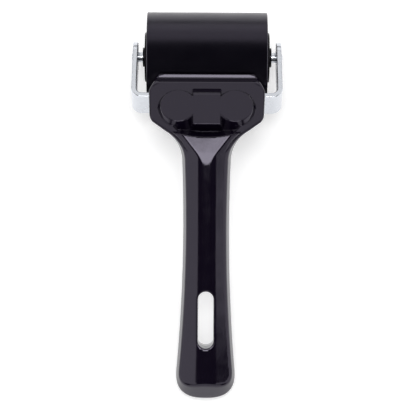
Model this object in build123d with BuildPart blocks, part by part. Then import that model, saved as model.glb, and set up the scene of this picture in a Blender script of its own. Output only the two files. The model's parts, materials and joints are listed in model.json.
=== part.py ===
from build123d import *
import os
from math import asin, atan2, cos, hypot, radians, sin, tan

# Rubber brayer: a rubber-covered roller that turns on an axle between the arms of a bent
# steel yoke, with a moulded plastic handle whose head grips the yoke's base.
# Millimetres. X runs along the axle, +Y from the handle's heel to the roller, +Z up.
# The origin is under the middle of the brayer, on the table that the roller and heel touch.

# ---- Driving dimensions ----

# roller
rubber_diameter = 38.1
rubber_length = 50.8
rubber_edge_radius = 0.5
core_diameter = 21.0
core_length = 52.7
core_bore = 6.4
core_edge = 0.5
bush_length = 10.0
bush_flange_diameter = 8.2
bush_flange = 0.9
bush_clearance = 0.05

# axle
axle_diameter = 4.4
axle_spigot_diameter = 3.6
axle_head_diameter = 4.8
axle_head_height = 0.6
axle_head_round = 0.5

# yoke, a bent flat strip
strip_width = 15.0
strip = 2.2
yoke_base_outer = 63.6
yoke_arm_outer = 62.6
yoke_reach = 20.9
yoke_bend = 2.2
arm_tip_centre = 1.3

# handle
yoke_angle = 30.5
grip_top = 41.5
grip_thickness = 15.5
crown_radius = 12.5
crown_arc = 4.1
crown_half_width = 16.0
grip_waist = 9.5
grip_waist_at = 69.0
grip_flare_radius = 685.0
grip_flare_end = 131.0
handle_length = 140.6
heel_radius = grip_thickness / 2
hood_radius = 20.1
lip_angle = 70.5
nose_wall_top = (6.45, 20.6)
ledge_end = (8.1, 20.85)
plate_start = 20.44
plate_height = 15.2
plate_end = 45.5
throat_end = (58.0, 27.0)
nose_top = 6.3
nose_half_width = 19.9
head_half_width = 24.1
head_side_start = 13.4
head_taper = 0.5
shoulder_corner = 25.2
shoulder_half_width = 16.4
shoulder_bend = 30.1
shoulder_round = 1.5
grip_start = 42.4
head_back = -7.5
heel_lean = 0.09
ramp_start = (31.2, 39.0)
ramp_roll = (38.0, 40.75)
ramp_end = (42.7, grip_top)
valley_start = (23.6, 31.54)
valley_end = (29.4, 31.23)
valley_half_width = 17.2
valley_end_half_width = 10.0
hang_slot_length = 23.6
hang_slot_width = 6.6
hang_slot_at = 107.2

# bosses over the two screws, and the block between them
boss_diameter = 14.6
boss_height = 2.2
boss_root = 4.0
boss_draft = 27.5
boss_offset = 11.8
boss_at = 32.6
block_width = 11.5
block_start = 23.3
block_flat_start = 26.9
block_end = 41.2

# clamp cover behind the head
cover_thickness = 3.0
cover_end = 41.0
cover_edge = 0.6
screw_offset = 9.0
screw_at = 30.0
screw_cone = 82.0
screw_tip = 1.0
screw_diameter = 3.5
screw_clearance = 3.9
screw_head_diameter = 7.0
screw_length = 16.0
screw_recess_width = 1.0
screw_recess_length = 4.0
screw_recess_depth = 1.6

# ---- Places worked out from them ----

rubber_radius = rubber_diameter / 2
grip_back = grip_top - grip_thickness
heel_centre = (handle_length - heel_radius, grip_top - heel_radius)

# The brayer rests on the roller and the heel, which sets the handle's slope
slope = atan2(heel_centre[1], heel_centre[0])
slope += asin((rubber_radius - heel_radius) / hypot(*heel_centre))
reach = heel_centre[0] * cos(slope) + heel_centre[1] * sin(slope)
axle_y = (reach + heel_radius - rubber_radius) / 2
axle_centre = (0, axle_y, rubber_radius)
arm_rise = radians(yoke_angle) - slope

# Side views have x towards the heel or the yoke's base; top views have y towards the roller
handle_side = Plane(axle_centre, x_dir=(0, -cos(slope), -sin(slope)), z_dir=(-1, 0, 0))
handle_front = Plane(axle_centre, x_dir=(1, 0, 0), z_dir=(0, -sin(slope), cos(slope)))
yoke_side = Plane(axle_centre, x_dir=(0, -cos(arm_rise), sin(arm_rise)), z_dir=(-1, 0, 0))
yoke_front = Plane(axle_centre, x_dir=(1, 0, 0), z_dir=(0, sin(arm_rise), cos(arm_rise)))
grip_section = Plane(axle_centre, x_dir=(1, 0, 0), z_dir=(0, -cos(slope), -sin(slope)))
axle_plane = Plane(axle_centre, x_dir=(0, 1, 0), z_dir=(1, 0, 0))


def in_handle(along, out):
    """A point of the yoke's side view, given in the handle's side view."""
    turn = radians(yoke_angle)
    return (along * cos(turn) - out * sin(turn), along * sin(turn) + out * cos(turn))


def save(part, name):
    """Labels a finished piece and writes it to its own file."""
    part.label = name
    export_step(part, f"parts/{name}.step")


os.makedirs("parts", exist_ok=True)

# ---- Roller: rubber sleeve on a plastic core ----

with BuildPart() as rubber_sleeve:
    with BuildSketch(axle_plane):
        Circle(rubber_radius)
        Circle(core_diameter / 2, mode=Mode.SUBTRACT)
    extrude(amount=rubber_length / 2, both=True)
    rims = rubber_sleeve.edges().filter_by(GeomType.CIRCLE)
    fillet(rims.filter_by(lambda e: e.radius > core_diameter / 2), rubber_edge_radius)
save(rubber_sleeve.part, "rubber_sleeve")

with BuildPart() as roller_core:
    with BuildSketch(axle_plane):
        Circle(core_diameter / 2)
        Circle(core_bore / 2, mode=Mode.SUBTRACT)
    extrude(amount=core_length / 2, both=True)
    rims = roller_core.edges().filter_by(GeomType.CIRCLE)
    chamfer(rims.filter_by(lambda e: e.radius > core_bore), core_edge)
save(roller_core.part, "roller_core")

# ---- Flanged bushes, pressed into the core's ends ----

for side, name in ((-1, "left_bush"), (1, "right_bush")):
    bush_face = axle_plane.offset(side * core_length / 2)
    with BuildPart() as bush:
        with BuildSketch(bush_face):
            Circle(core_bore / 2)
        extrude(amount=-side * bush_length)
        with BuildSketch(bush_face):
            Circle(bush_flange_diameter / 2)
        extrude(amount=side * bush_flange)
        with BuildSketch(axle_plane):
            Circle(axle_diameter / 2 + bush_clearance)
        extrude(amount=core_length, both=True, mode=Mode.SUBTRACT)
    save(bush.part, name)

# ---- Yoke: flat strip bent to a U, its arms leaning slightly inwards ----

base_middle = (yoke_base_outer - strip) / 2
arm_middle = (yoke_arm_outer - strip) / 2
arm_top = strip_width / 2 - arm_tip_centre
base_level = -(yoke_reach + strip / 2)
arm_outer = arm_middle + strip / 2
arm_outer += (base_middle - arm_middle) * arm_top / (arm_top - base_level)

with BuildPart() as yoke:
    with BuildSketch(yoke_front):
        with BuildLine():
            FilletPolyline(
                (-arm_middle, arm_top),
                (-base_middle, base_level),
                (base_middle, base_level),
                (arm_middle, arm_top),
                radius=yoke_bend + strip / 2,
            )
        trace(line_width=strip)
    extrude(amount=strip_width / 2, both=True)
    with BuildSketch(yoke_side):
        with Locations((arm_tip_centre, 0)):
            Circle(strip_width / 2)
            Rectangle(2 * yoke_reach, strip_width, align=(Align.MIN, Align.CENTER))
    extrude(amount=yoke_base_outer, both=True, mode=Mode.INTERSECT)
    with BuildSketch(axle_plane):
        Circle(axle_spigot_diameter / 2)
    extrude(amount=yoke_base_outer, both=True, mode=Mode.SUBTRACT)
save(yoke.part, "yoke")

# ---- Axle: shouldered between the arms, its ends riveted over ----

arm_inner = arm_outer - strip

with BuildPart() as axle:
    with BuildSketch(axle_plane):
        Circle(axle_diameter / 2)
    extrude(amount=arm_inner, both=True)
    with BuildSketch(axle_plane):
        Circle(axle_spigot_diameter / 2)
    extrude(amount=arm_outer, both=True)
    for side in (-1, 1):
        with BuildSketch(axle_plane.offset(side * arm_outer)):
            Circle(axle_head_diameter / 2)
        extrude(amount=side * axle_head_height)
    ends = axle.edges().filter_by(GeomType.CIRCLE).group_by(Axis.X)
    fillet(ends[0] + ends[-1], axle_head_round)
save(axle.part, "axle")

# ---- Handle: one moulding, head and grip ----

lip = (hood_radius * cos(radians(lip_angle)), hood_radius * sin(radians(lip_angle)))
hood_foot = (hood_radius**2 - head_back**2) ** 0.5
crown_slope = crown_arc / crown_radius
crown_shoulder = grip_top - crown_arc * crown_slope / 2
crown_edge = crown_shoulder - (crown_half_width - crown_arc) * crown_slope
boss_base = plate_height - boss_root


def half_grip(along):
    """Half the grip's width at a distance along the handle."""
    return grip_waist + (along - grip_waist_at) ** 2 / (2 * grip_flare_radius)


# Outline from the front, y towards the roller: nose, head, shoulders, flared grip, heel
with BuildSketch(handle_front) as front_outline:
    with BuildLine():
        shoulder = FilletPolyline(
            (0, -nose_top),
            (nose_half_width, -nose_top),
            (head_half_width, -head_side_start),
            (head_half_width - head_taper, -shoulder_corner),
            (shoulder_half_width, -shoulder_bend),
            radius=shoulder_round,
        )
        TangentArc(
            shoulder @ 1, (half_grip(grip_start), -grip_start), tangent=shoulder % 1
        )
        ThreePointArc(
            (half_grip(grip_start), -grip_start),
            (grip_waist, -grip_waist_at),
            (half_grip(grip_flare_end), -grip_flare_end),
        )
        Spline(
            (half_grip(grip_flare_end), -grip_flare_end),
            (0, -handle_length),
            tangents=[(heel_lean, -1), (-1, 0)],
        )
        mirror(about=Plane.YZ)
    make_face()

with BuildPart() as handle:
    # grip, seen from the side: ramp, straight top, round heel, straight back
    with BuildSketch(handle_side):
        with BuildLine():
            Polyline(
                (heel_centre[0], grip_back),
                (valley_end[0], grip_back),
                valley_end,
                ramp_start,
                ramp_roll,
                ramp_end,
                (heel_centre[0], grip_top),
            )
            ThreePointArc(
                (heel_centre[0], grip_top),
                (handle_length, heel_centre[1]),
                (heel_centre[0], grip_back),
            )
        make_face()
    extrude(amount=crown_half_width, both=True)
    # crowned top: an arc along the middle, flat slopes beside it
    with BuildSketch(grip_section):
        with BuildLine():
            ThreePointArc(
                (-crown_arc, crown_shoulder), (0, grip_top), (crown_arc, crown_shoulder)
            )
            Polyline(
                (crown_arc, crown_shoulder),
                (crown_half_width, crown_edge),
                (crown_half_width, 0),
                (-crown_half_width, 0),
                (-crown_half_width, crown_edge),
                (-crown_arc, crown_shoulder),
            )
        make_face()
    extrude(amount=2 * handle_length, mode=Mode.INTERSECT)
    # head, seen from the side: lip and ledge, flat plate, throat, flat back, hood
    with BuildSketch(handle_side):
        with BuildLine():
            Polyline(
                lip,
                nose_wall_top,
                ledge_end,
                in_handle(plate_start, plate_height),
                in_handle(plate_end, plate_height),
                throat_end,
                (throat_end[0], grip_back),
                in_handle(cover_end, head_back),
                in_handle(hood_foot, head_back),
            )
            ThreePointArc(
                in_handle(hood_foot, head_back), in_handle(hood_radius, 0), lip
            )
        make_face()
    extrude(amount=2 * head_half_width, both=True)
    # valley between the plate and the ramp, narrowing to the ramp's width
    with BuildPart(mode=Mode.PRIVATE) as valley:
        with BuildSketch(handle_side):
            Polygon(
                valley_start,
                valley_end,
                ramp_start,
                (valley_start[0], ramp_start[1]),
                align=None,
            )
        extrude(amount=valley_half_width, both=True)
        with BuildSketch(handle_front):
            Polygon(
                (-valley_half_width, -valley_start[0]),
                (-valley_end_half_width, -ramp_start[0]),
                (valley_end_half_width, -ramp_start[0]),
                (valley_half_width, -valley_start[0]),
                align=None,
            )
        extrude(amount=handle_length, both=True, mode=Mode.INTERSECT)
    add(valley.part, mode=Mode.SUBTRACT)
    # bosses and block on the plate
    with BuildSketch(yoke_front.offset(boss_base)):
        with Locations((-boss_offset, -boss_at), (boss_offset, -boss_at)):
            Circle(boss_diameter / 2 + (boss_root + boss_height) * tan(radians(boss_draft)))
    extrude(amount=boss_root + boss_height, taper=boss_draft)
    with BuildSketch(yoke_side):
        Polygon(
            (block_start, plate_height),
            (block_flat_start, plate_height + boss_height),
            (block_end, plate_height + boss_height),
            (block_end, boss_base),
            (block_start, boss_base),
            align=None,
        )
    extrude(amount=block_width / 2, both=True)
    extrude(front_outline.sketch, amount=handle_length, both=True, mode=Mode.INTERSECT)
    # hanging slot
    with BuildSketch(handle_front):
        with Locations((0, -hang_slot_at)):
            SlotOverall(hang_slot_length, hang_slot_width, rotation=90)
    extrude(amount=handle_length, both=True, mode=Mode.SUBTRACT)
    # pocket for the yoke's base, open at the back and at both sides
    with BuildSketch(yoke_side):
        with Locations((yoke_reach, -strip_width / 2)):
            Rectangle(strip, strip_width, align=(Align.MIN, Align.MIN))
    extrude(amount=yoke_base_outer, both=True, mode=Mode.SUBTRACT)
    # pilot holes for the cover's screws
    with BuildSketch(yoke_front.offset(head_back)):
        with Locations((-screw_offset, -screw_at), (screw_offset, -screw_at)):
            Circle(screw_diameter / 2)
    extrude(amount=screw_length - cover_thickness, mode=Mode.SUBTRACT)
save(handle.part, "handle")

# ---- Head cover: closes the pocket behind the yoke's base ----

with BuildPart() as head_cover:
    with BuildSketch(yoke_side):
        Polygon(
            (hood_foot, head_back),
            (cover_end, head_back),
            (cover_end - cover_thickness, head_back - cover_thickness),
            (hood_foot, head_back - cover_thickness),
            align=None,
        )
    extrude(amount=2 * head_half_width, both=True)
    extrude(front_outline.sketch, amount=handle_length, both=True, mode=Mode.INTERSECT)
    back = head_cover.faces().filter_by(Axis((0, 0, 0), yoke_front.z_dir)).sort_by(Axis.Z)[0]
    chamfer(back.edges(), cover_edge)
    with Locations(-yoke_front.offset(head_back - cover_thickness)):
        with Locations((-screw_offset, screw_at), (screw_offset, screw_at)):
            CounterSinkHole(screw_clearance / 2, screw_head_diameter / 2, 2 * cover_thickness)
save(head_cover.part, "head_cover")

# ---- Countersunk cover screws ----

head_depth = (screw_head_diameter - screw_diameter) / 2 / tan(radians(screw_cone / 2))

for side, name in ((-1, "left_cover_screw"), (1, "right_cover_screw")):
    with BuildPart() as cover_screw:
        with BuildSketch(yoke_front.offset(head_back - cover_thickness)):
            with Locations((side * screw_offset, -screw_at)):
                Circle(screw_head_diameter / 2)
        extrude(amount=head_depth, taper=screw_cone / 2)
        with BuildSketch(yoke_front.offset(head_back - cover_thickness)):
            with Locations((side * screw_offset, -screw_at)):
                Circle(screw_diameter / 2)
        extrude(amount=screw_length)
        tip = cover_screw.edges().filter_by(GeomType.CIRCLE).sort_by(
            Axis((0, 0, 0), yoke_front.z_dir)
        )[-1]
        chamfer(tip, screw_tip)
        with BuildSketch(yoke_front.offset(head_back - cover_thickness)):
            with Locations((side * screw_offset, -screw_at)):
                Rectangle(screw_recess_length, screw_recess_width)
                Rectangle(screw_recess_width, screw_recess_length)
        extrude(amount=screw_recess_depth, mode=Mode.SUBTRACT)
    save(cover_screw.part, name)
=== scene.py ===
import json
from math import asin, atan2, cos, hypot, pi, radians, sin, sqrt, tan

import bmesh
import bpy
import numpy as np
from mathutils import Matrix, Vector


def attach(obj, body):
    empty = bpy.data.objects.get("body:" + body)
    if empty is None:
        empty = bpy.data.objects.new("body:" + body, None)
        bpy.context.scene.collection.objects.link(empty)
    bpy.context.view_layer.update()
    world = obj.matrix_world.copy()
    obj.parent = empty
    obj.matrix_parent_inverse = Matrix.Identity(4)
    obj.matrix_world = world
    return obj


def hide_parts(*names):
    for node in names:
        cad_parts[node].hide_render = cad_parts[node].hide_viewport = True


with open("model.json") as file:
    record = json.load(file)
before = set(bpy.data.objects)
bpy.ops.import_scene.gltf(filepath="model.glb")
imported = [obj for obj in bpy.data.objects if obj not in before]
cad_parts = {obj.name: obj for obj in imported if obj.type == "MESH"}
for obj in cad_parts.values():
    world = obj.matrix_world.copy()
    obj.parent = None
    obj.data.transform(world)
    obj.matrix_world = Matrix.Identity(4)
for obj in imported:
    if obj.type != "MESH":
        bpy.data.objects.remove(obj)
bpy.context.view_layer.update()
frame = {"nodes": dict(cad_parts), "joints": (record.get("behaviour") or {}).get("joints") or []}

MM = 0.001
AXLE = Vector(frame["joints"][0]["pos_m"]) / MM

# ---- Sizes shared with the CAD, in millimetres ----

RUBBER_RADIUS, RUBBER_HALF = 19.05, 25.4
CORE_RADIUS, CORE_HALF, CORE_BORE = 10.5, 26.35, 3.2
BUSH_DEPTH, BUSH_BORE = 10.0, 2.25
FLANGE_RADIUS, FLANGE = 4.1, 0.9
AXLE_RADIUS, SPIGOT_RADIUS = 2.2, 1.8
RIVET_RADIUS, RIVET_HEIGHT, RIVET_DIMPLE, RIVET_TOP_RADIUS = 2.4, 0.6, 0.12, 1.1

STRIP, STRIP_HALF_WIDTH = 2.2, 7.5
YOKE_REACH, YOKE_BEND = 20.9, 2.2
BASE_HALF, ARM_HALF = 31.8, 31.3
TIP_CENTRE = 1.3

YOKE_ANGLE = radians(30.5)
GRIP_TOP, GRIP_BACK = 41.5, 26.0
PARTING = (GRIP_TOP + GRIP_BACK) / 2
HANDLE_LENGTH = 140.6
HOOD_RADIUS = 20.1
PLATE, HEAD_BACK = 15.2, -7.5
SLOT_AT, SLOT_HALF_LENGTH, SLOT_RADIUS = 107.2, 11.8, 3.3
BOSS_RADIUS, BOSS_HEIGHT, BOSS_OFFSET, BOSS_AT = 7.3, 2.2, 11.8, 32.6
BOSS_DRAFT = 0.52
BOSS_ROOT = 4.0
BLOCK_HALF_WIDTH, BLOCK_START, BLOCK_FLAT_START, BLOCK_END = 5.75, 23.3, 26.9, 41.2
COVER, COVER_END, THROAT_END = 3.0, 41.0, 58.0
SCREW_OFFSET, SCREW_AT, SCREW_LENGTH = 9.0, 30.0, 16.0
SCREW_RADIUS, SCREW_HOLE, SCREW_HEAD, SCREW_CONE = 1.75, 1.95, 3.5, radians(41)

# the handle's slope when the roller and the heel rest on the table
HEEL_RADIUS = (GRIP_TOP - GRIP_BACK) / 2
HEEL = (HANDLE_LENGTH - HEEL_RADIUS, PARTING)
SLOPE = atan2(HEEL[1], HEEL[0]) + asin((RUBBER_RADIUS - HEEL_RADIUS) / hypot(*HEEL))

# handle axes: x across, u from the axle towards the heel, v out of the handle's front
ALONG = Vector((0, -cos(SLOPE), -sin(SLOPE)))
OUT = Vector((0, -sin(SLOPE), cos(SLOPE)))


def from_handle(points):
    """Points given as x, u, v in millimetres, placed in the frame in metres."""
    x, u, v = points.T
    row = np.outer(x, (1, 0, 0)) + np.outer(u, ALONG) + np.outer(v, OUT) + np.array(AXLE)
    return row * MM


def turn_from_handle(vectors):
    """Directions given along x, u, v, turned into the frame's axes."""
    x, u, v = vectors.T
    return np.outer(x, (1, 0, 0)) + np.outer(u, ALONG) + np.outer(v, OUT)


def yoke_axes(u, v):
    """The same point's distance from the axle along the arms, and out of the yoke's plane."""
    along = u * cos(YOKE_ANGLE) + v * sin(YOKE_ANGLE)
    out = -u * sin(YOKE_ANGLE) + v * cos(YOKE_ANGLE)
    return along, out


def to_handle_side(along, out):
    """A point of the yoke's side view, given in the handle's side view."""
    u = along * cos(YOKE_ANGLE) - out * sin(YOKE_ANGLE)
    v = along * sin(YOKE_ANGLE) + out * cos(YOKE_ANGLE)
    return u, v


# ---- Fields: negative inside, close to a distance in millimetres near the surface ----


def both(a, b, radius=0.0):
    """Inside both fields, with the edge between them rounded to a radius."""
    corner = np.hypot(np.maximum(a + radius, 0), np.maximum(b + radius, 0))
    return np.where(np.asarray(radius) > 0, corner + np.minimum(np.maximum(a, b), -radius),
                    np.maximum(a, b))


def either(a, b, radius=0.0):
    """Inside either field, with a fillet of a radius between them."""
    return -both(-a, -b, radius)


def ease(low, high, value):
    """0 below low, 1 above high, and smooth between."""
    t = np.clip((value - low) / (high - low), 0, 1)
    return t * t * (3 - 2 * t)


def under(height, slope_x, slope_u, v):
    """Below a surface v = height, scaled by its slopes to be a distance."""
    return (v - height) / np.sqrt(1 + slope_x**2 + slope_u**2)


NUDGE, LONGEST_MOVE, SETTLING_PASSES = 0.01, 0.2, 4
LEAST_SLOPE_SQUARED, LEAST_LENGTH = 0.25, 1e-9


def skin(name, field, spans):
    """A closed mesh of the surface where a field is zero, one vertex for each cell it crosses.

    spans gives, for each axis, the grid's stretches as (low, high, cell)."""
    axes = []
    for stretches in spans:
        parts = [np.arange(low, high, cell) for low, high, cell in stretches]
        axes.append(np.concatenate(parts + [[stretches[-1][1]]]))
    value = field(*np.meshgrid(*axes, indexing="ij"))
    inside = value < 0
    shape = [n - 1 for n in value.shape]
    corners = [(i, j, k) for i in (0, 1) for j in (0, 1) for k in (0, 1)]
    count = sum(
        inside[i:i + shape[0], j:j + shape[1], k:k + shape[2]].astype(np.int8)
        for i, j, k in corners
    )
    cells = np.argwhere((count > 0) & (count < 8))
    number = -np.ones(shape, np.int64)
    number[tuple(cells.T)] = np.arange(len(cells))

    # a first place for each vertex: the mean of the crossings on its cell's edges
    total, crossings = np.zeros((len(cells), 3)), np.zeros(len(cells))
    for start in corners:
        for axis in range(3):
            if start[axis]:
                continue
            step = np.eye(3, dtype=int)[axis]
            a, b = cells + start, cells + start + step
            va, vb = value[tuple(a.T)], value[tuple(b.T)]
            cross = (va < 0) != (vb < 0)
            share = np.where(cross, va / np.where(cross, va - vb, 1), 0)
            pa = np.stack([axes[d][a[:, d]] for d in range(3)], 1)
            pb = np.stack([axes[d][b[:, d]] for d in range(3)], 1)
            total += np.where(cross[:, None], pa + (pb - pa) * share[:, None], 0)
            crossings += cross
    points = total / crossings[:, None]

    # then each vertex is moved onto the surface itself
    for _ in range(SETTLING_PASSES):
        slope = np.stack([
            (field(*(points + NUDGE * axis).T) - field(*(points - NUDGE * axis).T)) / (2 * NUDGE)
            for axis in np.eye(3)
        ], 1)
        size = np.maximum((slope**2).sum(1), LEAST_SLOPE_SQUARED)
        move = field(*points.T) / size
        points -= slope * np.clip(move, -LONGEST_MOVE, LONGEST_MOVE)[:, None]
    normals = slope / np.maximum(np.linalg.norm(slope, axis=1), LEAST_LENGTH)[:, None]

    faces = []
    for axis in range(3):
        p, q = [d for d in range(3) if d != axis]
        low = [slice(None)] * 3
        high = [slice(None)] * 3
        low[axis], high[axis] = slice(0, -1), slice(1, None)
        edges = np.argwhere(inside[tuple(low)] != inside[tuple(high)])
        edges = edges[(edges[:, p] > 0) & (edges[:, q] > 0)]
        edges = edges[(edges[:, p] < shape[p]) & (edges[:, q] < shape[q])]
        ep, eq = np.eye(3, dtype=int)[p], np.eye(3, dtype=int)[q]
        ring = [edges, edges - ep, edges - ep - eq, edges - eq]
        quad = np.stack([number[tuple(r.T)] for r in ring], 1)
        flip = inside[tuple(edges.T)] != (axis == 1)
        quad[flip] = quad[flip][:, ::-1]
        faces.append(quad)
    faces = np.concatenate(faces)
    mesh = bpy.data.meshes.new(name)
    mesh.from_pydata(from_handle(points).tolist(), [], faces.tolist())
    mesh.validate()
    for polygon in mesh.polygons:
        polygon.use_smooth = True
    mesh.normals_split_custom_set_from_vertices(turn_from_handle(normals).tolist())
    piece = bpy.data.objects.new(name, mesh)
    bpy.context.scene.collection.objects.link(piece)
    return piece


# ---- Handle ----

HEAD_HALF, HEAD_SIDE_START, HEAD_TAPER = 24.1, 13.4, 0.5
NOSE_RUN, NOSE_CUT, NOSE_POWER, NOSE_MOST = 7.1, 4.2, 1.3, 1.3
NOSE_WALL, LEDGE_END, STEP_TOP = ((6.71, 18.95), (6.45, 20.6)), (8.1, 20.85), (10.0, 23.62)
CORNER_AT, CORNER_TURN = (19.5, 9.52), radians(28.3)
CORNER_LEVEL, CORNER_RISE, CORNER_FALL = 23.2, 0.28, 0.9
SHOULDER_AT, SHOULDER_HALF = 30.1, 16.4
SHOULDER_SLOPE = (HEAD_HALF - HEAD_TAPER - SHOULDER_HALF) / (SHOULDER_AT - 25.2)
HEAD_NARROWS_TO = 27.0
GRIP_WAIST, WAIST_AT, FLARE_RADIUS = 9.5, 69.0, 685.0
GRIP_START = 42.4
HEEL_START, HEEL_POWER = 128.0, 2.55
SIDE_DRAFT, HEEL_DRAFT = 0.25, 0.85
BACK_DRAFT_SHARE, BACK_DRAFT_FROM, BACK_DRAFT_TO = 0.1, 30, 48
CROWN_INSET, CROWN_RADIUS, CROWN_ARC, CROWN_WIDENING = 2.6, 12.5, 4.1, 0.35
BACK_CROWN, BACK_CROWN_HALF, THROAT_RADIUS = 1.2, 10, 8.0
RIDGE_DRAFT, BLOCK_DRAFT, SLOT_DRAW = 0.15, 0.1, 0.3
RAMP_TILT, RAMP_ROLL, RAMP_END, RAMP_END_TILT = 0.258, 38.0, 42.7, 0.06
VALLEY, VALLEY_START, VALLEY_END, VALLEY_FALL, DIP_END = 31.54, 23.6, 30.0, 0.053, 43.2
VALLEY_HALF, VALLEY_NARROWING, APEX_HALF = 17.2, 0.872, 4.8
RAMP_START, RAMP_SAG, SAG_HALF = 31.86, 0.86 / 9.45**2, 10.5

# radii of the roundings on the handle's edges, and of the fillets in its corners
PARTING_ROUND, OUTLINE_ROUND, SHOULDER_ROUND = 0.3, 0.9, 1.5
NOSE_ROUND, BEVEL_ROUND, STEP_ROUND, LEDGE_FILLET = 0.35, 0.25, 0.2, 0.15
HOOD_ROUND, VALLEY_ROUND, CROWN_ROUND, SLOT_ROUND = 0.3, 0.3, 0.3, 0.5
RAMP_ROUND, FACET_ROUND, RIDGE_ROUND = 0.15, 0.25, 0.5
RIDGE_FILLET, FILLET_FADES_FROM, FILLET_FADES_TO = 0.12, 32, 36
BACK_ROUND, GRIP_BACK_ROUND, BACK_ROUND_FROM, BACK_ROUND_TO = 0.25, 2.25, 42, 60
DISC_ROUND, BLOCK_NOSE_ROUND, BLOCK_ROUND, BLOCK_FILLET = 0.18, 0.5, 0.3, 0.2
BOSS_EDGE_ROUND, BOSS_FILLET = 0.6, 0.12
COVER_SIDE_ROUND, COVER_ROUND, STRIP_ROUND = 0.25, 0.6, 0.4


def flare(u):
    """Half the grip's width, from its waist out to its flared end, and its slope."""
    return GRIP_WAIST + (u - WAIST_AT) ** 2 / (2 * FLARE_RADIUS), (u - WAIST_AT) / FLARE_RADIUS


def shoulder_arc():
    """Centre and radius of the arc from the shoulder's straight edge to the grip."""
    end_half, _ = flare(GRIP_START)
    turn = atan2(1, SHOULDER_SLOPE)
    across, down = SHOULDER_HALF - end_half, GRIP_START - SHOULDER_AT
    radius = hypot(across, down) / (2 * sin(atan2(down, across) - turn))
    return (SHOULDER_HALF + radius * sin(turn), SHOULDER_AT + radius * cos(turn)), radius


ARC_CENTRE, ARC_RADIUS = shoulder_arc()


def waist(u):
    """Half the width of the shoulders and grip, and its slope along u."""
    half, slope = flare(u)
    drop = np.clip(ARC_CENTRE[1] - u, -0.999 * ARC_RADIUS, 0.999 * ARC_RADIUS)
    run = np.sqrt(ARC_RADIUS**2 - drop**2)
    half = np.where(u < GRIP_START, ARC_CENTRE[0] - run, half)
    slope = np.where(u < GRIP_START, -drop / run, slope)
    straight = SHOULDER_HALF + SHOULDER_SLOPE * (SHOULDER_AT - u)
    half = np.where(u < SHOULDER_AT, straight, half)
    slope = np.where(u < SHOULDER_AT, -SHOULDER_SLOPE, slope)
    return half, slope


def sides(x, u, v):
    """The drafted side walls, the head's nose corners and the rounded heel end."""
    half, slope = waist(u)
    off_parting = np.sqrt((v - PARTING) ** 2 + PARTING_ROUND**2) - PARTING_ROUND
    grown = ease(BACK_DRAFT_FROM, BACK_DRAFT_TO, u)
    back_share = BACK_DRAFT_SHARE + (1 - BACK_DRAFT_SHARE) * grown
    draft = SIDE_DRAFT * np.where(v > PARTING, 1, back_share)
    across = np.maximum(half - off_parting * draft, 1)
    reach = np.maximum(HANDLE_LENGTH - HEEL_START - HEEL_DRAFT * off_parting, 1)
    part_x, part_u = np.abs(x) / across, np.maximum(u - HEEL_START, 0) / reach
    level = np.maximum(part_x**HEEL_POWER + part_u**HEEL_POWER, 1e-9) ** (1 / HEEL_POWER)
    grow_x = (part_x / level) ** (HEEL_POWER - 1) / across
    grow_u = (part_u / level) ** (HEEL_POWER - 1) / reach
    end = (level - 1) / np.maximum(np.hypot(grow_x, grow_u), 1e-3)
    wall = (np.abs(x) - across) / np.sqrt(1 + slope**2)
    grip = np.where(u > HEEL_START, end, wall) / sqrt(1 + SIDE_DRAFT**2)
    nose = NOSE_CUT * np.clip((HEAD_SIDE_START - u) / NOSE_RUN, 0, NOSE_MOST) ** NOSE_POWER
    taper = HEAD_TAPER * ease(HEAD_SIDE_START, HEAD_NARROWS_TO, u)
    head = np.abs(x) - (HEAD_HALF - nose - taper)
    return both(head, grip, SHOULDER_ROUND)


def crown(x, u, v):
    """Below the grip's crowned front: an arc along the middle, and flat slopes beside it.

    The crown keeps its shape towards the head, and widens with the grip towards the heel."""
    half, _ = waist(np.maximum(u, WAIST_AT))
    wide = ((GRIP_WAIST - CROWN_INSET) / (half - CROWN_INSET)) ** CROWN_WIDENING
    reach = np.abs(x) * wide
    on_arc = np.minimum(reach, CROWN_ARC)
    drop = (on_arc**2 / 2 + CROWN_ARC * (reach - on_arc)) / CROWN_RADIUS
    return under(GRIP_TOP - drop, on_arc / CROWN_RADIUS * wide, 0, v)


def edge_line(u):
    """Where the crown ends across the grip, and that line's slope along u."""
    half, slope = waist(u)
    return half - CROWN_INSET, slope


def ridge(x, u, v):
    """The raised grip: crown, ramp and steep facet inside walls that follow the outline."""
    edge, slope = edge_line(u)
    wall = edge + RIDGE_DRAFT * (GRIP_TOP - CROWN_ARC / 2 - v)
    wall = (np.abs(x) - wall) / np.sqrt(1 + slope**2)
    short = RAMP_END - np.maximum(u, RAMP_ROLL)
    bend = (RAMP_TILT - RAMP_END_TILT) / (RAMP_END - RAMP_ROLL)
    below = RAMP_END_TILT * short + bend * np.maximum(short, 0) ** 2 / 2
    below = below + RAMP_TILT * np.maximum(RAMP_ROLL - u, 0)
    tilt = np.minimum(RAMP_END_TILT + bend * np.maximum(short, 0), RAMP_TILT)
    ramp = under(GRIP_TOP - below, 0, tilt, v)
    steep = (ramp_height() - VALLEY) / (RAMP_START - VALLEY_END)
    sag = np.minimum(np.abs(x), SAG_HALF)
    facet_top = RAMP_START - RAMP_SAG * sag**2
    facet = under(ramp_height() + (u - facet_top) * steep, 2 * RAMP_SAG * sag * steep, steep, v)
    top = both(both(crown(x, u, v), ramp, RAMP_ROUND), facet, FACET_ROUND)
    return both(top, wall, RIDGE_ROUND)


def ramp_height():
    """The ramp's height where it starts, above the facet."""
    rolled_off = (RAMP_TILT + RAMP_END_TILT) / 2 * (RAMP_END - RAMP_ROLL)
    return GRIP_TOP - rolled_off - RAMP_TILT * (RAMP_ROLL - RAMP_START)


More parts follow.
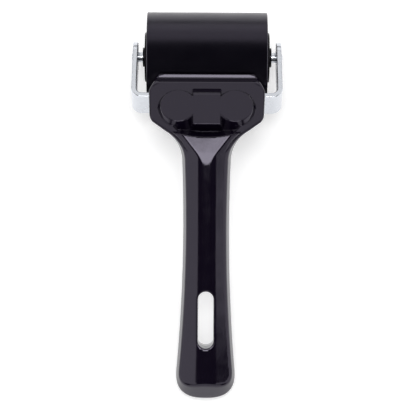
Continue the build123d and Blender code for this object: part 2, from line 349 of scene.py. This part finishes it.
def nose_step(u, v, plate):
    """The plate's end at the nose: a steep step down to a narrow ledge along the lip."""
    top_u, top_v = NOSE_WALL[1]
    rise = (LEDGE_END[1] - top_v) / (LEDGE_END[0] - top_u)
    ledge = under(top_v + (u - top_u) * rise, 0, rise, v)
    steep = (STEP_TOP[1] - LEDGE_END[1]) / (STEP_TOP[0] - LEDGE_END[0])
    step = under(STEP_TOP[1] + (u - STEP_TOP[0]) * steep, 0, steep, v)
    return either(both(plate, step, STEP_ROUND), ledge, LEDGE_FILLET)


def nose(x, u, v):
    """Behind the blunt nose's wall, and inside its bevelled corners."""
    (foot_u, foot_v), (top_u, top_v) = NOSE_WALL
    lean = (foot_u - top_u) / (top_v - foot_v)
    wall = (foot_u - (v - foot_v) * lean - u) / hypot(1, lean)
    out_x, out_u = np.abs(x) - CORNER_AT[0], u - CORNER_AT[1]
    on = out_x * cos(CORNER_TURN) + out_u * sin(CORNER_TURN)
    off = out_x * sin(CORNER_TURN) - out_u * cos(CORNER_TURN)
    bevel = v - CORNER_LEVEL - CORNER_RISE * on + CORNER_FALL * off
    return both(wall, bevel / sqrt(1 + CORNER_RISE**2 + CORNER_FALL**2), BEVEL_ROUND)


def bosses(x, along, out):
    """Two round bosses with sloping walls, and the block between them."""
    above = out - (PLATE + BOSS_HEIGHT)
    spread = np.hypot(np.abs(x) - BOSS_OFFSET, along - BOSS_AT) - BOSS_RADIUS
    disc = both((spread + BOSS_DRAFT * above) / hypot(1, BOSS_DRAFT), above, DISC_ROUND)
    rise = BOSS_HEIGHT / (BLOCK_FLAT_START - BLOCK_START)
    nose = (out - PLATE - (along - BLOCK_START) * rise) / hypot(1, rise)
    block = both(above, nose, BLOCK_NOSE_ROUND)
    for past_wall in (np.abs(x) - BLOCK_HALF_WIDTH, along - BLOCK_END):
        block = both(block, past_wall + BLOCK_DRAFT * above, BLOCK_ROUND)
    return both(either(disc, block, BLOCK_FILLET), PLATE - BOSS_ROOT - out)


def slot(x, u, v):
    """The hanging slot: round ends, and walls drawn in a little to the parting line."""
    past_end = np.maximum(np.abs(u - SLOT_AT) - (SLOT_HALF_LENGTH - SLOT_RADIUS), 0)
    draw = SLOT_DRAW * (1 - np.abs(v - PARTING) / HEEL_RADIUS)
    return np.hypot(x, past_end) - SLOT_RADIUS + draw


def screw_holes(x, along, radius):
    return np.hypot(np.abs(x) - SCREW_OFFSET, along - SCREW_AT) - radius


def handle_field(x, u, v):
    along, out = yoke_axes(u, v)
    floor_level = VALLEY - VALLEY_FALL * (u - VALLEY_START)
    funnel = np.maximum(VALLEY_HALF - VALLEY_NARROWING * (u - VALLEY_START), APEX_HALF)
    dip = np.maximum(floor_level - v, (np.abs(x) - funnel) / hypot(1, VALLEY_NARROWING))
    dip = np.maximum(dip, u - DIP_END)
    front = both(nose_step(u, v, out - PLATE), -dip, VALLEY_ROUND)
    front = both(front, crown(x, u, v), CROWN_ROUND)
    hood = HOOD_RADIUS - np.hypot(along, out)

    # the back: flat behind the head, a sloping throat, then the grip's gently crowned back
    start = to_handle_side(COVER_END, HEAD_BACK)
    rise = (GRIP_BACK - start[1]) / (THROAT_END - start[0])
    throat = (start[1] + (u - start[0]) * rise - v) / hypot(1, rise)
    belly = GRIP_BACK + BACK_CROWN * (x / BACK_CROWN_HALF) ** 2 - v
    back = either(both(HEAD_BACK - out, throat), belly, THROAT_RADIUS)

    outline = sides(x, u, v)
    body = both(outline, both(front, nose(x, u, v), NOSE_ROUND), OUTLINE_ROUND)
    body = both(body, hood, HOOD_ROUND)
    softer = (GRIP_BACK_ROUND - BACK_ROUND) * ease(BACK_ROUND_FROM, BACK_ROUND_TO, u)
    body = both(body, back, BACK_ROUND + softer)
    fillet = RIDGE_FILLET * (1 - ease(FILLET_FADES_FROM, FILLET_FADES_TO, u))
    body = either(body, both(both(ridge(x, u, v), outline, OUTLINE_ROUND), back), fillet)
    raised = both(bosses(x, along, out), outline, BOSS_EDGE_ROUND)
    body = either(body, raised, BOSS_FILLET)

    body = both(body, -slot(x, u, v), SLOT_ROUND)
    pocket = both(np.abs(along - YOKE_REACH - STRIP / 2) - STRIP / 2, out - STRIP_HALF_WIDTH)
    pilots = both(screw_holes(x, along, SCREW_RADIUS), out - (HEAD_BACK - COVER + SCREW_LENGTH))
    return both(body, -either(pocket, pilots))


def cover_field(x, u, v):
    along, out = yoke_axes(u, v)
    front_edge = sqrt(HOOD_RADIUS**2 - HEAD_BACK**2) - along
    rear_edge = (along - COVER_END + HEAD_BACK - out) / sqrt(2)
    slab = both(both(front_edge, rear_edge), both(sides(x, u, v), out - HEAD_BACK), COVER_SIDE_ROUND)
    sink = HEAD_BACK - COVER - out
    slab = both(slab, sink, COVER_ROUND)
    cone = screw_holes(x, along, SCREW_HEAD) * cos(SCREW_CONE) - sink * sin(SCREW_CONE)
    holes = either(screw_holes(x, along, SCREW_HOLE), cone)
    return both(slab, -holes)


# ---- Yoke ----


def yoke_field(x, u, v):
    along, out = yoke_axes(u, v)
    base_middle, arm_middle = BASE_HALF - STRIP / 2, ARM_HALF - STRIP / 2
    arm_top = STRIP_HALF_WIDTH - TIP_CENTRE
    base_level = YOKE_REACH + STRIP / 2
    lean = (base_middle - arm_middle) / (arm_top + base_level)
    arm = (np.abs(x) - arm_middle - (along + arm_top) * lean) / hypot(1, lean)
    path = both(along - base_level, arm, YOKE_BEND + STRIP / 2)
    tip = np.hypot(np.minimum(along - TIP_CENTRE, 0), out) - STRIP_HALF_WIDTH
    strip = both(np.abs(path) - STRIP / 2, tip, STRIP_ROUND)
    return both(strip, SPIGOT_RADIUS - np.hypot(along, out))


# ---- Round parts ----

ARC_STEPS = 5


def rounded(corners):
    """A closed loop of (x, radius) points from corners given as (x, radius, rounding)."""
    loop = []
    for i, (x, r, rounding) in enumerate(corners):
        here = Vector((x, r))
        if rounding == 0:
            loop.append(here)
            continue
        before = (Vector(corners[i - 1][:2]) - here).normalized()
        after = (Vector(corners[(i + 1) % len(corners)][:2]) - here).normalized()
        half_angle = before.angle(after) / 2
        centre = here + (before + after).normalized() * rounding / sin(half_angle)
        start = here + before * rounding / tan(half_angle) - centre
        end = here + after * rounding / tan(half_angle) - centre
        for step in range(ARC_STEPS + 1):
            aim = start.slerp(end, step / ARC_STEPS).normalized()
            loop.append(centre + aim * rounding)
    return loop


def lathe(name, corners, segments, sharp=40):
    """A round piece about the axle, from the corners of its section."""
    loop = rounded(corners)
    count = len(loop)
    points, ring = [], []
    for x, r in loop:
        if r == 0:
            ring.append([len(points)] * segments)
            points.append((x, 0, 0))
            continue
        ring.append(list(range(len(points), len(points) + segments)))
        for k in range(segments):
            turn = 2 * pi * k / segments
            points.append((x, r * cos(turn), r * sin(turn)))
    faces = []
    for i in range(count):
        a, b = ring[i], ring[(i + 1) % count]
        if a[0] == a[1] and b[0] == b[1]:
            continue
        for k in range(segments):
            n = (k + 1) % segments
            corner = [a[k], a[n], b[n], b[k]]
            faces.append(list(dict.fromkeys(corner)))
    mesh = bpy.data.meshes.new(name)
    mesh.from_pydata([(Vector(p) + AXLE) * MM for p in points], [], faces)
    mesh.validate()
    tidy = bmesh.new()
    tidy.from_mesh(mesh)
    bmesh.ops.recalc_face_normals(tidy, faces=tidy.faces)
    tidy.to_mesh(mesh)
    tidy.free()
    for polygon in mesh.polygons:
        polygon.use_smooth = True
    mesh.set_sharp_from_angle(angle=radians(sharp))
    piece = bpy.data.objects.new(name, mesh)
    bpy.context.scene.collection.objects.link(piece)
    return piece


def arm_outer():
    """The arms' outer faces at the axle's level, from the middle of the brayer."""
    rise = YOKE_REACH + STRIP_HALF_WIDTH - TIP_CENTRE + STRIP / 2
    return ARM_HALF + (BASE_HALF - ARM_HALF) * (STRIP_HALF_WIDTH - TIP_CENTRE) / rise


# ---- Materials ----


BLACK_PLASTIC, DULL_PLASTIC = (0.0032, 0.0018, 0.006), (0.003, 0.003, 0.004)
BLACK_RUBBER = (0.001, 0.0006, 0.003)
STEEL, SCREW_STEEL = (0.62, 0.64, 0.68), (0.6, 0.61, 0.63)
PLASTIC_TINT, RUBBER_TINT = (0.88, 0.82, 1, 1), (0.84, 0.76, 1, 1)


def material(name, colour, roughness, metallic=0.0):
    made = bpy.data.materials.new(name)
    made.use_nodes = True
    shader = made.node_tree.nodes["Principled BSDF"]
    shader.inputs["Base Color"].default_value = (*colour, 1)
    shader.inputs["Roughness"].default_value = roughness
    shader.inputs["Metallic"].default_value = metallic
    return made, made.node_tree, shader


def grain(tree, scale, stretch=(1, 1, 1), detail=3.0, turn=(0, 0, 0)):
    """A noise, in the piece's own coordinates, drawn out along an axis where stretch is small."""
    place = tree.nodes.new("ShaderNodeTexCoord")
    mapping = tree.nodes.new("ShaderNodeMapping")
    mapping.inputs["Rotation"].default_value = turn
    mapping.inputs["Scale"].default_value = stretch
    noise = tree.nodes.new("ShaderNodeTexNoise")
    noise.inputs["Scale"].default_value = scale
    noise.inputs["Detail"].default_value = detail
    tree.links.new(place.outputs["Object"], mapping.inputs["Vector"])
    tree.links.new(mapping.outputs["Vector"], noise.inputs["Vector"])
    return noise.outputs["Fac"]


def spread(tree, source, low, high, to_min, to_max):
    ranged = tree.nodes.new("ShaderNodeMapRange")
    ranged.inputs["From Min"].default_value = low
    ranged.inputs["From Max"].default_value = high
    ranged.inputs["To Min"].default_value = to_min
    ranged.inputs["To Max"].default_value = to_max
    tree.links.new(source, ranged.inputs["Value"])
    return ranged.outputs["Result"]


def raise_by(tree, shader, heights):
    """Bumps on the shader's normal, from (height source, depth in metres) pairs."""
    normal = None
    for source, depth in heights:
        bump = tree.nodes.new("ShaderNodeBump")
        bump.inputs["Strength"].default_value = 1.0
        bump.inputs["Distance"].default_value = depth
        tree.links.new(source, bump.inputs["Height"])
        if normal is not None:
            tree.links.new(normal, bump.inputs["Normal"])
        normal = bump.outputs["Normal"]
    tree.links.new(normal, shader.inputs["Normal"])


def moulded(name, colour, low, high, peel, shine=0.5):
    """Glossy moulded plastic: a faint orange peel, and handling marks in the gloss."""
    made, tree, shader = material(name, colour, low)
    shader.inputs["Specular IOR Level"].default_value = shine
    shader.inputs["Specular Tint"].default_value = PLASTIC_TINT
    marks = grain(tree, 180, detail=6.0)
    tree.links.new(spread(tree, marks, 0.35, 0.7, low, high), shader.inputs["Roughness"])
    raise_by(tree, shader, [(grain(tree, 900, detail=2.0), peel)])
    return made


def rolled(name, colour, low, high, stretch, turn=(0, 0, 0)):
    """Plated steel with fine lines left along the strip by rolling."""
    made, tree, shader = material(name, colour, low, 1.0)
    lines = grain(tree, 4000, stretch, 2.0, turn)
    cloud = grain(tree, 250, detail=4.0)
    tree.links.new(spread(tree, cloud, 0.3, 0.7, low, high), shader.inputs["Roughness"])
    raise_by(tree, shader, [(lines, 0.000004)])
    return made


def ground_rubber(name):
    """Rubber ground on a lathe: faint rings, fine pores and a gloss that varies a little."""
    made, tree, shader = material(name, BLACK_RUBBER, 0.3)
    shader.inputs["Specular IOR Level"].default_value = 0.52
    shader.inputs["Specular Tint"].default_value = RUBBER_TINT
    rings = grain(tree, 2500, (1, 0.01, 0.01), 2.0)
    pores = grain(tree, 6000, detail=2.0)
    dust = grain(tree, 90, detail=5.0)
    tree.links.new(spread(tree, dust, 0.3, 0.75, 0.28, 0.35), shader.inputs["Roughness"])
    raise_by(tree, shader, [(rings, 0.000012), (pores, 0.00001)])
    return made


finish = {
    "handle_plastic": moulded("handle_plastic", BLACK_PLASTIC, 0.07, 0.13, 0.000004),
    "cover_plastic": moulded("cover_plastic", BLACK_PLASTIC, 0.24, 0.34, 0.00002),
    "core_plastic": moulded("core_plastic", DULL_PLASTIC, 0.3, 0.42, 0.00002, 0.12),
    "bush_plastic": moulded("bush_plastic", DULL_PLASTIC, 0.28, 0.4, 0.00001, 0.12),
    "rubber": ground_rubber("rubber"),
    "yoke_steel": rolled("yoke_steel", STEEL, 0.2, 0.3, (0.02, 1, 1)),
    "axle_steel": rolled("axle_steel", STEEL, 0.16, 0.26, (1, 0.05, 0.05)),
    "screw_steel": rolled("screw_steel", SCREW_STEEL, 0.22, 0.36, (1, 1, 1)),
}


def place(piece, body, slot_name, *nodes):
    piece.data.materials.clear()
    piece.data.materials.append(finish[slot_name])
    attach(piece, body)
    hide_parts(*nodes)


# ---- Pieces ----

handle = skin(
    "handle_moulding",
    handle_field,
    (
        [(-26.1, 26.1, 0.4)],
        [(3.1, 46.1, 0.35), (46.1, 143.3, 0.8)],
        [(1.1, 44.3, 0.4)],
    ),
)
place(handle, "frame", "handle_plastic", "handle")

cover = skin(
    "cover_plate",
    cover_field,
    ([(-26.1, 26.1, 0.4)], [(16.1, 46.1, 0.4)], [(-2.1, 18.1, 0.4)]),
)
place(cover, "frame", "cover_plastic", "head_cover")

strap = skin(
    "yoke_strap",
    yoke_field,
    ([(-33.1, 33.1, 0.33)], [(-10.1, 26.1, 0.33)], [(-10.1, 20.1, 0.33)]),
)
place(strap, "frame", "yoke_steel", "yoke")

sleeve = lathe(
    "ground_sleeve",
    [
        (-RUBBER_HALF, CORE_RADIUS, 0),
        (RUBBER_HALF, CORE_RADIUS, 0),
        (RUBBER_HALF, RUBBER_RADIUS, 0.5),
        (-RUBBER_HALF, RUBBER_RADIUS, 0.5),
    ],
    160,
)
place(sleeve, "roller", "rubber", "rubber_sleeve")

core = lathe(
    "core_tube",
    [
        (-CORE_HALF, CORE_BORE, 0),
        (CORE_HALF, CORE_BORE, 0),
        (CORE_HALF, CORE_RADIUS, 0.5),
        (-CORE_HALF, CORE_RADIUS, 0.5),
    ],
    128,
)
place(core, "roller", "core_plastic", "roller_core")

for side, name in ((-1, "left"), (1, "right")):
    bush = lathe(
        name + "_flanged_bush",
        [
            (side * (CORE_HALF - BUSH_DEPTH), BUSH_BORE, 0),
            (side * (CORE_HALF + FLANGE), BUSH_BORE, 0),
            (side * (CORE_HALF + FLANGE), FLANGE_RADIUS, 0.25),
            (side * CORE_HALF, FLANGE_RADIUS, 0),
            (side * CORE_HALF, CORE_BORE, 0),
            (side * (CORE_HALF - BUSH_DEPTH), CORE_BORE, 0),
        ],
        64,
    )
    place(bush, "roller", "bush_plastic", name + "_bush")

rivet = arm_outer()
pin = lathe(
    "riveted_axle",
    [
        (-rivet - RIVET_HEIGHT + RIVET_DIMPLE, 0, 0),
        (-rivet - RIVET_HEIGHT, RIVET_TOP_RADIUS, 0.3),
        (-rivet, RIVET_RADIUS, 0.25),
        (-rivet, SPIGOT_RADIUS, 0),
        (-rivet + STRIP, SPIGOT_RADIUS, 0),
        (-rivet + STRIP, AXLE_RADIUS, 0.15),
        (rivet - STRIP, AXLE_RADIUS, 0.15),
        (rivet - STRIP, SPIGOT_RADIUS, 0),
        (rivet, SPIGOT_RADIUS, 0),
        (rivet, RIVET_RADIUS, 0.25),
        (rivet + RIVET_HEIGHT, RIVET_TOP_RADIUS, 0.3),
        (rivet + RIVET_HEIGHT - RIVET_DIMPLE, 0, 0),
    ],
    64,
)
place(pin, "frame", "axle_steel", "axle")

for node in ("left_cover_screw", "right_cover_screw"):
    screw = frame["nodes"][node]
    for held in screw.material_slots:
        held.material = finish["screw_steel"]
    if not screw.material_slots:
        screw.data.materials.append(finish["screw_steel"])

# ---- Camera, at the handle's front and tipped a little towards the heel ----

TIP = radians(4.5)
ROLL = radians(0.31)
CAMERA_AWAY, AXLE_ABOVE, AXLE_RIGHT = 1050.0, 63.69, -0.165
IMAGE, PIXELS_PER_RADIAN, SENSOR = 415, 2473, 36.0

toward = Vector((0, -sin(SLOPE - TIP), cos(SLOPE - TIP)))
level_up = Vector((0, cos(SLOPE - TIP), sin(SLOPE - TIP)))
sideways = Vector((1, 0, 0))
right = sideways * cos(ROLL) + level_up * sin(ROLL)
up = level_up * cos(ROLL) - sideways * sin(ROLL)
aim = AXLE - up * AXLE_ABOVE - right * AXLE_RIGHT


def facing(position, along_right, along_up, along_back):
    axes = Matrix((along_right, along_up, along_back)).transposed().to_4x4()
    return Matrix.Translation(position) @ axes


lens = bpy.data.cameras.new("camera")
lens.sensor_width = SENSOR
lens.lens = SENSOR * PIXELS_PER_RADIAN / IMAGE
lens.clip_start, lens.clip_end = 0.01, 20
camera = bpy.data.objects.new("camera", lens)
camera.matrix_world = facing((aim + toward * CAMERA_AWAY) * MM, right, up, toward)
bpy.context.scene.collection.objects.link(camera)
bpy.context.scene.camera = camera

# ---- Floor and light ----

floor_mesh = bpy.data.meshes.new("floor")
FLOOR_HALF = 6.0
floor_mesh.from_pydata(
    [(x * FLOOR_HALF, y * FLOOR_HALF, 0) for x, y in ((-1, -1), (1, -1), (1, 1), (-1, 1))],
    [],
    [(0, 1, 2, 3)],
)
floor = bpy.data.objects.new("floor", floor_mesh)
floor_paint, floor_tree, floor_shader = material("floor", (0.86, 0.86, 0.86), 0.6)
tone = spread(floor_tree, grain(floor_tree, 60, detail=4.0), 0.3, 0.7, 0.58, 0.64)
floor_tree.links.new(tone, floor_shader.inputs["Roughness"])
floor_shader.inputs["Emission Color"].default_value = (1, 1, 1, 1)
floor_shader.inputs["Emission Strength"].default_value = 0.35
floor_mesh.materials.append(floor_paint)
bpy.context.scene.collection.objects.link(floor)

middle = Vector((0, 0, 0.02))


def panel(name, lean, swing, away, size, radiance):
    """A soft light over the brayer: lean tips it from the camera's line towards the top of
    the view, and swing turns it to the right."""
    lean, swing = radians(lean), radians(swing)
    back = (toward * cos(lean) + level_up * sin(lean)) * cos(swing) + sideways * sin(swing)
    light = bpy.data.lights.new(name, "AREA")
    light.shape = "RECTANGLE"
    light.size, light.size_y = size
    light.energy = radiance * pi * size[0] * size[1]
    lamp = bpy.data.objects.new(name, light)
    lamp.matrix_world = Matrix.Translation(middle + back * away) @ back.to_track_quat(
        "Z", "Y"
    ).to_matrix().to_4x4()
    bpy.context.scene.collection.objects.link(lamp)
    return lamp


overhead = panel("overhead_softbox", 9, 0, 2.2, (1.0, 1.06), 7.0)
panel("rear_softbox", 53, 0, 3.0, (5.0, 1.3), 1.0)
panel("horizon_softbox", 81, 0, 3.0, (5.0, 1.4), 1.2)
panel("left_softbox", 0, -59.5, 2.2, (3.4, 2.1), 1.3)
panel("right_softbox", 0, 63.4, 2.2, (3.4, 2.0), 1.3)
low_front = panel("front_softbox", -58, 0, 2.6, (3.0, 1.8), 1.0)

# the overhead and front softboxes are flagged off the roller
flagged = bpy.data.collections.new("flagged")
for piece in (sleeve, core):
    flagged.objects.link(piece)
for lamp in (overhead, low_front):
    lamp.light_linking.receiver_collection = flagged
for held in flagged.collection_objects:
    held.light_linking.link_state = "EXCLUDE"

world = bpy.data.worlds.new("studio")
world.use_nodes = True
sky = world.node_tree.nodes["Background"]
sky.inputs["Color"].default_value = (0.97, 0.98, 1, 1)
sky.inputs["Strength"].default_value = 0.04
bpy.context.scene.world = world
bpy.context.scene.view_settings.view_transform = "Standard"
